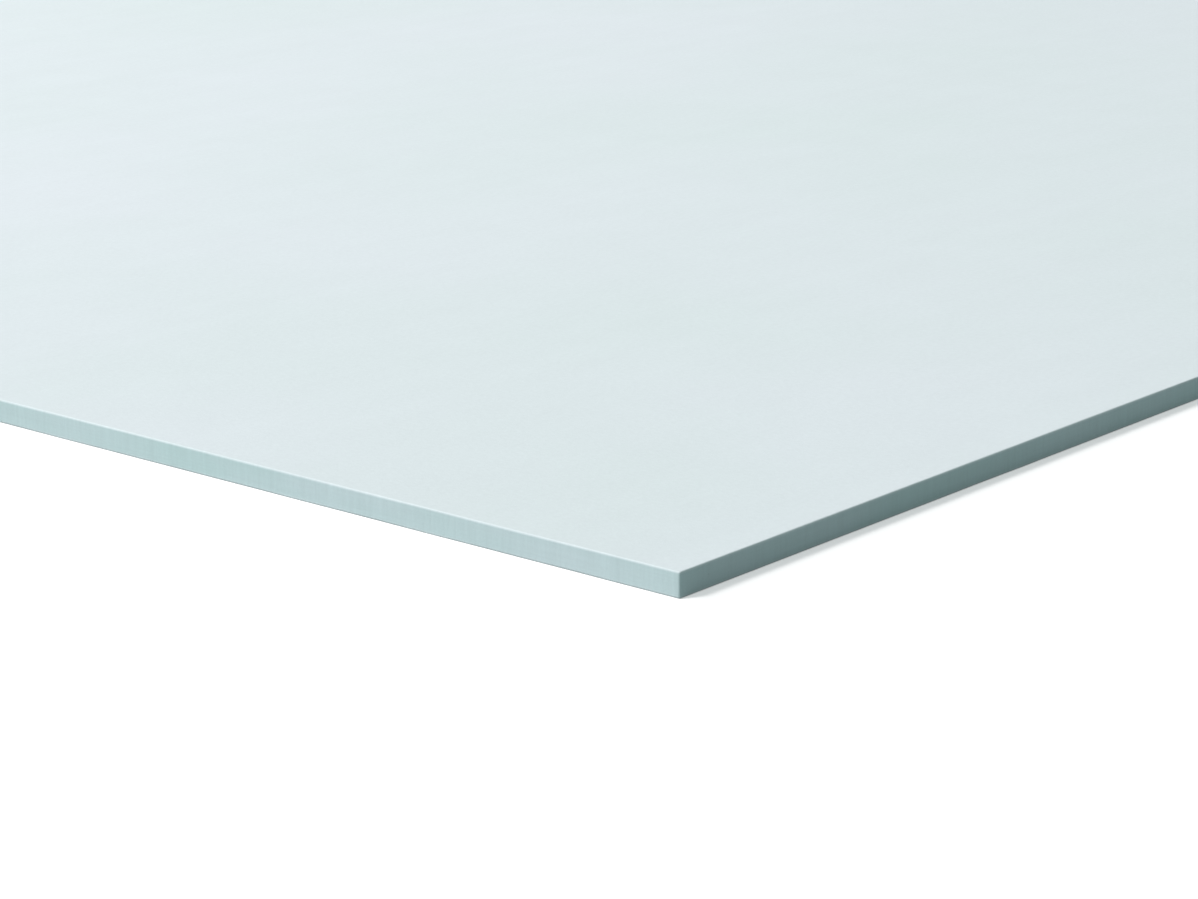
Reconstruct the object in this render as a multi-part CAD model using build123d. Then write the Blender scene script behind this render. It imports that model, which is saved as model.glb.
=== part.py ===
from build123d import *
import os

# Rubber soundproofing panel: one flat solid sheet, cut square, in millimetres.
# The origin is the centre of the back face, the face that the sheet lies on.
# +X runs along the length, +Y across the width and +Z out of the front face.

# Sheet format
panel_length = 2400.0
panel_width = 1200.0
panel_thickness = 10.0

# Upright corners of the sheet, seen in plan
corner_radius = 1.0

# Arrises, where the two faces meet the cut edges
arris_radius = 0.6


def cut_blank():
    """The sheet as it is cut out, with square arrises."""
    outline = RectangleRounded(panel_length, panel_width, corner_radius)
    return extrude(outline, panel_thickness)


def ease_arrises(blank):
    """The cut leaves the rim of both faces slightly rounded, all the way round."""
    back_rim = blank.faces().sort_by(Axis.Z)[0].edges()
    front_rim = blank.faces().sort_by(Axis.Z)[-1].edges()
    return fillet(back_rim + front_rim, arris_radius)


panel = ease_arrises(cut_blank())

os.makedirs("parts", exist_ok=True)
export_step(panel, "parts/panel.step")
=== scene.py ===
import math

import bpy
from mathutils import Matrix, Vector, noise


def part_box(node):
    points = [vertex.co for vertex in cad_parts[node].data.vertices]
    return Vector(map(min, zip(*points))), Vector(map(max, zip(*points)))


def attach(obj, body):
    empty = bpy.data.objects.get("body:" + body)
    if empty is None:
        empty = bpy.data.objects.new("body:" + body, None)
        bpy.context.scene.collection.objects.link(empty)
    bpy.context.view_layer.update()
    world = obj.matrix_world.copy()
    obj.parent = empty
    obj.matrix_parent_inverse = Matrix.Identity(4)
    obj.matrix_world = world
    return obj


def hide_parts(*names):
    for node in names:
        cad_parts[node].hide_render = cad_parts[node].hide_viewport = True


# A flat rubber sheet lying on a pale floor, seen from low down at one corner.
# Every length is in metres, in the frame's own axes: +X along, +Y across, +Z up.

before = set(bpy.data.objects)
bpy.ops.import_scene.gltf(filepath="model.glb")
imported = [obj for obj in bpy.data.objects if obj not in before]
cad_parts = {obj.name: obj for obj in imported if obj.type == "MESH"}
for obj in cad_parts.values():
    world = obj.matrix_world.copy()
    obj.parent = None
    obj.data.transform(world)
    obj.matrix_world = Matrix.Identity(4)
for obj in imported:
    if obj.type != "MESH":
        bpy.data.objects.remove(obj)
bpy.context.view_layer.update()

# The sheet: its box from the frame, and its roundings, which the frame doesn't give
low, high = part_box("panel")
corner_radius = 0.0010              # upright corners in plan
arris_radius = 0.0006               # between the faces and the cut edges

# How the cut edges stray inwards from a perfect cut
drift_depth = 0.00020               # slow drift of the blade
drift_waves = 5.0                   # to the metre
chatter_depth = 0.00006             # short waves that the blade leaves
chatter_waves = 140.0
chatter_lean = 0.35                 # how fast a wave changes upwards, against along the edge
arris_spread = 0.35                 # share by which the rounding of an arris varies
arris_waves = 30.0

# How the front face sinks from a perfect plane, in long swells and shorter ones
swells = ((0.00022, 2.6), (0.00008, 7.0))    # depth, and waves to the metre

# Steps of the sheet's mesh
long_steps = 1536                   # along a long edge
short_steps = 768                   # along a short edge
corner_steps = 6                    # round an upright corner
arris_steps = 3                     # round an arris
wall_steps = 4                      # down the flat of a cut edge
support = 0.0003                    # flat margin beside each arris, which keeps the shading true
ring_count = 4                      # rings on a face, each with half the steps of the one outside it
ring_spacing = 0.8                  # of the ring's own step

# The map that the materials are baked through, as cells of (left, bottom, width, height) in a square
# of 1. It draws the cut edges taller than they are, because otherwise their arrises would be under a
# pixel high.
map_name = "OFBake"
map_margin = 0.002                  # inside each cell
edge_band = 0.034                   # height of a cut edge's cell
face_band = (1 - 3 * edge_band) / 2
front_cell = (0.0, 1 - face_band, 1.0, face_band)
back_cell = (0.0, 3 * edge_band, 1.0, face_band)
edge_cells = ((0.0, 0.0, 0.5, edge_band),               # +X
              (0.0, 2 * edge_band, 1.0, edge_band),     # +Y
              (0.5, 0.0, 0.5, edge_band),               # -X
              (0.0, edge_band, 1.0, edge_band))         # -Y
corner_share = 0.012                # of an edge's cell, for the corner at its end

# Camera: where the near corner shows in the picture, and how it is looked at
picture_width, picture_height = 1198.0, 899.0
corner_across, corner_down = 680.0, 572.0
sensor_width = 36.0                 # millimetres
lens_length = 108.65                # millimetres
camera_yaw = math.radians(50.0)     # from +Y towards +X
camera_pitch = math.radians(16.0)   # downwards
camera_depth = 1.248                # from the lens to the corner, along the view

# Floor
floor_reach = 150.0                 # from its middle to each side
floor_gap = 0.0001                  # under the sheet, so that the two don't share a plane
floor_white = (0.98, 0.94, 0.94)    # a little warm, against the cool sky
floor_glow = 0.38                   # lifts the floor that is seen to white
floor_bounce = (0.315, 0.385, 0.385)    # its colour where it lights the sheet's edges

# Lamps and sky. At these strengths a colour on a level face renders about as it is written.
sun_from = Vector((-0.55, 0.30, 0.60))     # the direction that it stands in
sun_strength = 1.72
sun_angle = math.radians(14.0)
window_place = Vector((-2.9, 3.1, 2.8))
window_aim = Vector((-0.6, 0.3, 0.0))
window_size = (2.5, 1.8)
window_power = 126.0
window_tint = (1.06, 0.97, 1.02)
sky_light = 0.30                    # its strength on the sheet
sky_tint = (0.85, 1.0, 1.0)
shown_sky = (1.0, 1.0, 1.0)         # to look at

# Colours of the sheet, linear
face_cyan = (0.728, 0.820, 0.808)
face_lilac = (0.762, 0.810, 0.842)
edge_deep = (0.520, 0.676, 0.668)
edge_pale = (0.606, 0.708, 0.728)
# The arrises' colour: near the face's own colour, carried over the rounding, and lighter than the cut, so
# that it paints a highlight line along each arris
arris_face_tone_and_highlight = (0.740, 0.810, 0.820)
arris_fade = 2.0                    # how far the arris colour, with its painted highlight, reaches into the cut, in radii of the arris

# Noises in the rubber: waves to the metre along X, Y and Z, then the noise's detail and roughness
face_noises = {
    "clouds": ((2.6, 3.4, 1.0), 3.0, 0.5),
    "mottle": ((28.0, 34.0, 30.0), 4.0, 0.6),
    "lines": ((0.9, 75.0, 1.0), 2.0, 0.5),          # along the sheet, as it left the rolls
    "grain": ((420.0, 420.0, 420.0), 3.0, 0.65),
}
edge_noises = {
    "clouds": ((9.0, 9.0, 30.0), 3.0, 0.5),
    "strokes": ((130.0, 130.0, 12.0), 2.0, 0.5),    # broad upright strokes of the blade
    "marks": ((520.0, 520.0, 45.0), 3.0, 0.6),      # fine ones
    "drag": ((14.0, 14.0, 900.0), 3.0, 0.5),        # level lines that the blade dragged
    "grain": ((900.0, 900.0, 900.0), 2.0, 0.6),
}

# How far each noise moves the tint between its two colours, the brightness and the roughness,
# and how high it stands in the relief, in metres
face_tinting = {"clouds": 1.4}
face_shading = {"clouds": 0.05, "mottle": 0.045, "lines": 0.02, "grain": 0.09}
face_matting = {"mottle": 0.20, "grain": 0.10}
face_relief = {"grain": 0.00009, "mottle": 0.00006, "lines": 0.00003}
edge_tinting = {"clouds": 2.0}
edge_shading = {"strokes": 0.08, "marks": 0.12, "drag": 0.08, "grain": 0.06}
edge_matting = {"marks": 0.15, "grain": 0.10}
edge_relief = {"strokes": 0.00012, "marks": 0.00008, "drag": 0.00003, "grain": 0.00004}

# Mean roughness, and specular level
face_roughness = 0.80
face_shine = 0.40
edge_roughness = 0.84
edge_shine = 0.35

# Open pores in the cut
pore_cells = 480.0                  # to the metre, each with a pore or none
pore_share = 0.3                    # share of the cells that have one
pore_radius = 0.20                  # the largest, in cells
pore_slope = 0.08                   # from its rim to its full depth, in cells
pore_stray = 0.0009                 # how far its outline is pushed about
pore_stray_waves = 1300.0
pore_painted_shade = 0.08                   # how much darker it is, a painted shade in its hollow
pore_depth = 0.00006


# The sheet's outline and section

def direction(angle):
    return Vector((math.cos(angle), math.sin(angle)))


def outline():
    """Stations once round the sheet, as (side, along, point, outward direction).

    along runs from 0 to 1 on a side, and from 1 to 2 round the corner at its end.
    """
    inner_x, inner_y = high.x - corner_radius, high.y - corner_radius
    corners = [Vector((inner_x, -inner_y)), Vector((inner_x, inner_y)),
               Vector((-inner_x, inner_y)), Vector((-inner_x, -inner_y))]
    stations = []
    for side, start in enumerate(corners):
        end = corners[(side + 1) % 4]
        facing = side * math.pi / 2
        steps = long_steps if side % 2 else short_steps
        for step in range(steps):
            out = direction(facing)
            point = start.lerp(end, step / steps) + out * corner_radius
            stations.append((side, step / steps, point, out))
        for step in range(corner_steps):
            out = direction(facing + step / corner_steps * math.pi / 2)
            stations.append((side, 1 + step / corner_steps, end + out * corner_radius, out))
    return stations


def wave(x, y, z, waves):
    """Smooth noise from 0 to 1, of that many waves to the metre."""
    return 0.5 + 0.5 * noise.noise(Vector((x, y, z)) * waves)


def front_height(x, y):
    """The front face's height: the frame's, less what the sheet sinks there."""
    return high.z - sum(depth * wave(x, y, 0.0, waves) for depth, waves in swells)


def rounding(point, height):
    """The radius of an arris at one station."""
    return arris_radius * (1 + arris_spread * (2 * wave(*point, height, arris_waves) - 1))


def section(point):
    """(inset, height) down the cut edge at a station, from the front face's margin to the back face's."""
    level = front_height(*point)
    front, back = rounding(point, high.z), rounding(point, low.z)
    top, bottom = level - front - support, low.z + back + support
    quarter = [math.pi / 2 * step / arris_steps for step in range(arris_steps + 1)]
    rows = [(front + support, level)]
    rows += [(front * (1 - math.sin(turn)), level - front * (1 - math.cos(turn))) for turn in quarter]
    rows += [(0.0, top + (bottom - top) * step / wall_steps) for step in range(wall_steps + 1)]
    rows += [(back * (1 - math.cos(turn)), low.z + back * (1 - math.sin(turn))) for turn in quarter]
    rows += [(back + support, low.z)]
    return rows


def edge_vertex(point, out, inset, height):
    """A vertex of the cut edge, drawn in by the blade's drift and chatter."""
    drift = drift_depth * wave(*point, 0.0, drift_waves)
    chatter = chatter_depth * wave(*point, height * chatter_lean, chatter_waves)
    place = point - out * (inset + drift + chatter)
    return (place.x, place.y, height)


# The sheet's polygons

def edge_quads(station_count, depth):
    """Quads between each station's column of vertices and the next one's. Each column has depth of them."""
    quads = []
    for index in range(station_count):
        here, there = index * depth, (index + 1) % station_count * depth
        quads += [(here + row, here + row + 1, there + row + 1, there + row) for row in range(depth - 1)]
    return quads


def ring_places(long_count, short_count):
    """(turn, column, row) once round a grid of that many steps, in the outline's order."""
    right = [(j / short_count, long_count, j) for j in range(short_count)]
    back = [(1 + i / long_count, long_count - i, short_count) for i in range(long_count)]
    left = [(2 + j / short_count, 0, short_count - j) for j in range(short_count)]
    front = [(3 + i / long_count, i, 0) for i in range(long_count)]
    return right + back + left + front


def zip_loops(outer, inner):
    """Triangles between two loops of (turn, vertex) round the sheet. turn counts sides, from 0 to 4."""
    outer = outer + [(4.0, outer[0][1])]
    inner = inner + [(4.0, inner[0][1])]
    triangles = []
    a = b = 0
    while a < len(outer) - 1 or b < len(inner) - 1:
        inner_done = b == len(inner) - 1
        outer_next = a < len(outer) - 1 and (inner_done or outer[a + 1][0] <= inner[b + 1][0])
        if outer_next:
            triangles.append((outer[a][1], outer[a + 1][1], inner[b][1]))
            a += 1
        else:
            triangles.append((outer[a][1], inner[b + 1][1], inner[b][1]))
            b += 1
    return triangles


def grid_place(column, row, columns, rows, inset, height_at):
    """The place of a column and row in a grid that stops short of the sheet's edges by the inset."""
    x = (2 * column / columns - 1) * (high.x - inset)
    y = (2 * row / rows - 1) * (high.y - inset)
    return (x, y, height_at(x, y))


def fill_face(vertices, rim, height_at):
    """Polygons, wound to look up, that fill a face of the sheet inside its rim.

    They are rings that coarsen inwards, and then a grid. Their vertices are added to the list.
    """
    polygons = []
    columns, rows, inset = long_steps, short_steps, arris_radius + support
    outer = rim
    for _ in range(ring_count):
        columns, rows = columns // 2, rows // 2
        inset += ring_spacing * (high.x - low.x) / columns
        known = {}
        inner = []
        for turn, column, row in ring_places(columns, rows):
            known[column, row] = len(vertices)
            inner.append((turn, len(vertices)))
            vertices.append(grid_place(column, row, columns, rows, inset, height_at))
        polygons += zip_loops(outer, inner)
        outer = inner
    for column in range(1, columns):
        for row in range(1, rows):
            known[column, row] = len(vertices)
            vertices.append(grid_place(column, row, columns, rows, inset, height_at))
    for column in range(columns):
        for row in range(rows):
            polygons.append((known[column, row], known[column + 1, row],
                             known[column + 1, row + 1], known[column, row + 1]))
    return polygons


# The sheet's baking map

def in_cell(cell, across, rise):
    """The spot that is those shares of the way across and up a cell, within its margin."""
    left, bottom, width, height = cell
    return (left + map_margin + across * (width - 2 * map_margin),
            bottom + map_margin + rise * (height - 2 * map_margin))


def level_spots(polygons, vertices, cell):
    """The spot of each corner of each polygon on a face of the sheet, as it is seen from above."""
    spots = []
    for polygon in polygons:
        for x, y, _ in (vertices[index] for index in polygon):
            spots.append(in_cell(cell, (x - low.x) / (high.x - low.x), (y - low.y) / (high.y - low.y)))
    return spots


def side_share(along):
    """How far along its side's cell a station is, from 0 to 1."""
    if along <= 1:
        return along * (1 - corner_share)
    return 1 - (2 - along) * corner_share


def section_shares(column):
    """How far down its section each vertex of a station's column is, from 0 to 1."""
    lengths = [math.dist(upper, lower) for upper, lower in zip(column, column[1:])]
    return [sum(lengths[:row]) / sum(lengths) for row in range(len(column))]


def edge_spots(stations, columns):
    """The spot of each corner of each quad on the cut edges, as they are seen from outside."""
    downs = [section_shares(column) for column in columns]
    spots = []
    for index, (side, along, _, _) in enumerate(stations):
        following = (index + 1) % len(stations)
        left = side_share(along)
        # The next side's start, where along is 0, ends this one's corner
        right = side_share(stations[following][1] or 2.0)
        here, there = downs[index], downs[following]
        for row in range(len(here) - 1):
            for across, down in ((left, here[row]), (left, here[row + 1]),
                                 (right, there[row + 1]), (right, there[row])):
                spots.append(in_cell(edge_cells[side], across, 1 - down))
    return spots


# The sheet

def make_sheet():
    """The sheet as one closed mesh. Its faces take the first material slot and its cut edges the second."""
    stations = outline()
    columns = [[edge_vertex(point, out, inset, height) for inset, height in section(point)]
               for _, _, point, out in stations]
    depth = len(columns[0])
    vertices = [vertex for column in columns for vertex in column]
    edges = edge_quads(len(stations), depth)

    turns = [side + min(along, 1.0) for side, along, _, _ in stations]
    front_rim = [(turn, index * depth) for index, turn in enumerate(turns)]
    back_rim = [(turn, index * depth + depth - 1) for index, turn in enumerate(turns)]
    front = fill_face(vertices, front_rim, front_height)
    back = [polygon[::-1] for polygon in fill_face(vertices, back_rim, lambda x, y: low.z)]

    mesh = bpy.data.meshes.new("sheet")
    mesh.from_pydata(vertices, [], front + back + edges)
    mesh.polygons.foreach_set("material_index", [0] * len(front + back) + [1] * len(edges))

    # The back face is mirrored, because it is seen from below
    spots = level_spots(front, vertices, front_cell)
    spots += [(1 - across, rise) for across, rise in level_spots(back, vertices, back_cell)]
    spots += edge_spots(stations, columns)
    baking_map = mesh.uv_layers.new(name=map_name)
    baking_map.data.foreach_set("uv", [part for spot in spots for part in spot])

    mesh.shade_smooth()
    mesh.update()
    sheet = bpy.data.objects.new("sheet", mesh)
    bpy.context.scene.collection.objects.link(sheet)
    return sheet


# Material nodes

def new_tree(name):
    """A material with an empty node tree, and that tree."""
    material = bpy.data.materials.new(name)
    material.use_nodes = True
    material.node_tree.nodes.clear()
    return material, material.node_tree


def add_node(tree, kind, inputs, **settings):
    """A node with its settings made and its inputs filled.

    Each input is a value, or another node's output that is linked to it.
    """
    node = tree.nodes.new(kind)
    for name, value in settings.items():
        setattr(node, name, value)
    for name, value in inputs.items():
        if isinstance(value, bpy.types.NodeSocket):
            tree.links.new(value, node.inputs[name])
        else:
            node.inputs[name].default_value = value
    return node


def math_node(tree, operation, *values):
    node = add_node(tree, "ShaderNodeMath", dict(enumerate(values)), operation=operation)
    return node.outputs[0]


def vector_node(tree, operation, *values):
    node = add_node(tree, "ShaderNodeVectorMath", dict(enumerate(values)), operation=operation)
    return node.outputs[0]


def mixed(tree, share, first, second):
    """first where share is 0 and second where it is 1. Both are colours."""
    # A mix node has its colours on inputs 6 and 7 and on output 2
    node = add_node(tree, "ShaderNodeMix", {0: share, 6: first, 7: second}, data_type="RGBA")
    return node.outputs[2]


def colour(rgb):
    return (*rgb, 1.0)


def place_on(tree):
    """The place on the object in metres."""
    return add_node(tree, "ShaderNodeTexCoord", {}).outputs["Object"]


def make_noises(tree, place, recipes):
    """The named noises of those recipes, each of them about 0.5."""
    noises = {}
    for name, (waves, detail, rough) in recipes.items():
        scaled = vector_node(tree, "MULTIPLY", place, waves)
        node = add_node(tree, "ShaderNodeTexNoise",
                        {"Vector": scaled, "Scale": 1.0, "Detail": detail, "Roughness": rough})
        noises[name] = node.outputs["Fac"]
    return noises


def moved(tree, start, noises, amounts):
    """start plus each noise that is named in amounts, taken about its middle, times its amount."""
    total = start
    for name, amount in amounts.items():
        centred = math_node(tree, "SUBTRACT", noises[name], 0.5)
        total = math_node(tree, "MULTIPLY_ADD", centred, amount, total)
    return total


def finish_rubber(tree, tint, brightness, roughness, relief, shine):
    """The rubber's shader. relief is a height in metres."""
    base = add_node(tree, "ShaderNodeVectorMath", {0: tint, "Scale": brightness}, operation="SCALE")
    bump = add_node(tree, "ShaderNodeBump", {"Strength": 1.0, "Distance": 1.0, "Height": relief})
    shader = add_node(tree, "ShaderNodeBsdfPrincipled",
                      {"Base Color": base.outputs[0], "Roughness": roughness,
                       "Normal": bump.outputs["Normal"], "Specular IOR Level": shine})
    add_node(tree, "ShaderNodeOutputMaterial", {"Surface": shader.outputs["BSDF"]})


# The rubber

def face_material():
    """Pale blue-grey rubber, calendered smooth: matte grain, faint clouds and fainter lines along it."""
    material, tree = new_tree("sheet_face")
    noises = make_noises(tree, place_on(tree), face_noises)
    tint = mixed(tree, moved(tree, 0.5, noises, face_tinting), colour(face_cyan), colour(face_lilac))
    brightness = moved(tree, 1.0, noises, face_shading)
    roughness = moved(tree, face_roughness, noises, face_matting)
    relief = moved(tree, 0.0, noises, face_relief)
    finish_rubber(tree, tint, brightness, roughness, relief, face_shine)
    return material


def arris_share(tree, place):
    """0 on the flat of a cut edge, and 1 where it rounds over into a face. It places the arrises' pale
    colour, which paints a highlight line along each one.
    """
    middle, half = (low.z + high.z) / 2, (high.z - low.z) / 2
    height = add_node(tree, "ShaderNodeSeparateXYZ", {"Vector": place}).outputs["Z"]
    from_middle = math_node(tree, "ABSOLUTE", math_node(tree, "SUBTRACT", height, middle))
    fade_start = half - arris_fade * arris_radius
    node = add_node(tree, "ShaderNodeMapRange",
                    {"Value": from_middle, "From Min": fade_start, "From Max": half})
    return node.outputs["Result"]


def pores(tree, place):
    """1 in the open pores of the cut, which are few, ragged and of many sizes, and 0 elsewhere."""
    stray = add_node(tree, "ShaderNodeTexNoise", {"Vector": place, "Scale": pore_stray_waves})
    stray_reach = (pore_stray, pore_stray, pore_stray)
    pushed = vector_node(tree, "MULTIPLY_ADD", stray.outputs["Color"], stray_reach, place)
    cells = add_node(tree, "ShaderNodeTexVoronoi", {"Vector": pushed, "Scale": pore_cells})
    chance = add_node(tree, "ShaderNodeSeparateColor", {"Color": cells.outputs["Color"]}).outputs["Red"]
    radius = add_node(tree, "ShaderNodeMapRange",
                      {"Value": chance, "From Min": 1 - pore_share, "To Max": pore_radius})
    depth = math_node(tree, "SUBTRACT", radius.outputs["Result"], cells.outputs["Distance"])
    node = add_node(tree, "ShaderNodeMapRange", {"Value": depth, "From Max": pore_slope})
    return node.outputs["Result"]


def edge_material():
    """The cut rubber: a little deeper in colour, with upright blade marks, drag lines and a few pores, and
    pale arrises near the face's colour, which paint a highlight line along each one.
    """
    material, tree = new_tree("sheet_cut_edge")
    place = place_on(tree)
    noises = make_noises(tree, place, edge_noises)
    rounded = arris_share(tree, place)
    pore = math_node(tree, "MULTIPLY", pores(tree, place), math_node(tree, "SUBTRACT", 1.0, rounded))

    cut = mixed(tree, moved(tree, 0.5, noises, edge_tinting), colour(edge_deep), colour(edge_pale))
    # The arrises take a pale colour near the face's, which paints a highlight line along each of them
    tint = mixed(tree, rounded, cut, colour(arris_face_tone_and_highlight))
    brightness = moved(tree, 1.0, noises, edge_shading)
    # The pores are darkened: painted shade in their hollows
    brightness = math_node(tree, "MULTIPLY_ADD", pore, -pore_painted_shade, brightness)
    roughness = moved(tree, edge_roughness, noises, edge_matting)
    relief = moved(tree, 0.0, noises, edge_relief)
    relief = math_node(tree, "MULTIPLY_ADD", pore, -pore_depth, relief)
    finish_rubber(tree, tint, brightness, roughness, relief, edge_shine)
    return material


# Floor, sky, lamps and camera

def seen_directly(tree):
    """1 for a ray from the camera, a mirror or glass, and 0 for one that lights the sheet."""
    path = add_node(tree, "ShaderNodeLightPath", {}).outputs
    mirrored = math_node(tree, "MAXIMUM", path["Is Glossy Ray"], path["Is Transmission Ray"])
    return math_node(tree, "MAXIMUM", path["Is Camera Ray"], mirrored)


def floor_material():
    """A white floor that keeps the sheet's shadow and throws little light back up at its edges."""
    material, tree = new_tree("floor")
    lit = add_node(tree, "ShaderNodeBsdfDiffuse", {"Color": colour(floor_white)})
    glow = add_node(tree, "ShaderNodeEmission", {"Strength": floor_glow})
    shown = add_node(tree, "ShaderNodeAddShader", {0: lit.outputs[0], 1: glow.outputs[0]})
    bounce = add_node(tree, "ShaderNodeBsdfDiffuse", {"Color": colour(floor_bounce)})
    both = add_node(tree, "ShaderNodeMixShader",
                    {0: seen_directly(tree), 1: bounce.outputs[0], 2: shown.outputs[0]})
    add_node(tree, "ShaderNodeOutputMaterial", {"Surface": both.outputs[0]})
    return material


def make_floor():
    level = low.z - floor_gap
    corners = [(-1, -1), (1, -1), (1, 1), (-1, 1)]
    mesh = bpy.data.meshes.new("floor")
    mesh.from_pydata([(x * floor_reach, y * floor_reach, level) for x, y in corners], [], [(0, 1, 2, 3)])
    mesh.materials.append(floor_material())
    floor = bpy.data.objects.new("floor", mesh)
    bpy.context.scene.collection.objects.link(floor)


def make_sky():
    """White to look at, and a soft even light on the sheet."""
    world = bpy.data.worlds.new("sky")
    world.use_nodes = True
    tree = world.node_tree
    tree.nodes.clear()
    light = add_node(tree, "ShaderNodeBackground", {"Color": colour(sky_tint), "Strength": sky_light})
    white = add_node(tree, "ShaderNodeBackground", {"Color": colour(shown_sky), "Strength": 1.0})
    both = add_node(tree, "ShaderNodeMixShader",
                    {0: seen_directly(tree), 1: light.outputs[0], 2: white.outputs[0]})
    add_node(tree, "ShaderNodeOutputWorld", {"Surface": both.outputs[0]})
    bpy.context.scene.world = world


def add_lamp(name, kind, place, aim, **settings):
    data = bpy.data.lights.new(name, kind)
    for setting, value in settings.items():
        setattr(data, setting, value)
    lamp = bpy.data.objects.new(name, data)
    lamp.location = place
    lamp.rotation_euler = (place - aim).to_track_quat("Z", "Y").to_euler()
    bpy.context.scene.collection.objects.link(lamp)


def make_lamps():
    add_lamp("sun", "SUN", sun_from, Vector((0, 0, 0)), energy=sun_strength, angle=sun_angle)
    add_lamp("window", "AREA", window_place, window_aim, energy=window_power, color=window_tint,
             shape="RECTANGLE", size=window_size[0], size_y=window_size[1])


def make_camera():
    """Looks level across the picture, with the sheet's near corner at its named place in it."""
    forward = Vector((math.cos(camera_pitch) * math.sin(camera_yaw),
                      math.cos(camera_pitch) * math.cos(camera_yaw),
                      -math.sin(camera_pitch)))
    right = Vector((math.cos(camera_yaw), -math.sin(camera_yaw), 0.0))
    up = right.cross(forward)
    step = camera_depth * sensor_width / lens_length / picture_width    # metres to a pixel at the corner
    corner = Vector((low.x, low.y, high.z))
    across = (corner_across - picture_width / 2) * step
    rise = (picture_height / 2 - corner_down) * step

    data = bpy.data.cameras.new("camera")
    data.sensor_width = sensor_width
    data.lens = lens_length
    data.clip_end = 4 * floor_reach     # past the floor's far corner
    camera = bpy.data.objects.new("camera", data)
    camera.location = corner - forward * camera_depth - right * across - up * rise
    camera.rotation_euler = forward.to_track_quat("-Z", "Y").to_euler()
    bpy.context.scene.collection.objects.link(camera)
    bpy.context.scene.camera = camera


# Putting it together

sheet = make_sheet()
sheet.data.materials.append(face_material())
sheet.data.materials.append(edge_material())
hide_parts("panel")
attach(sheet, "root")

make_floor()
make_sky()
make_lamps()
make_camera()
bpy.context.scene.view_settings.view_transform = "Standard"
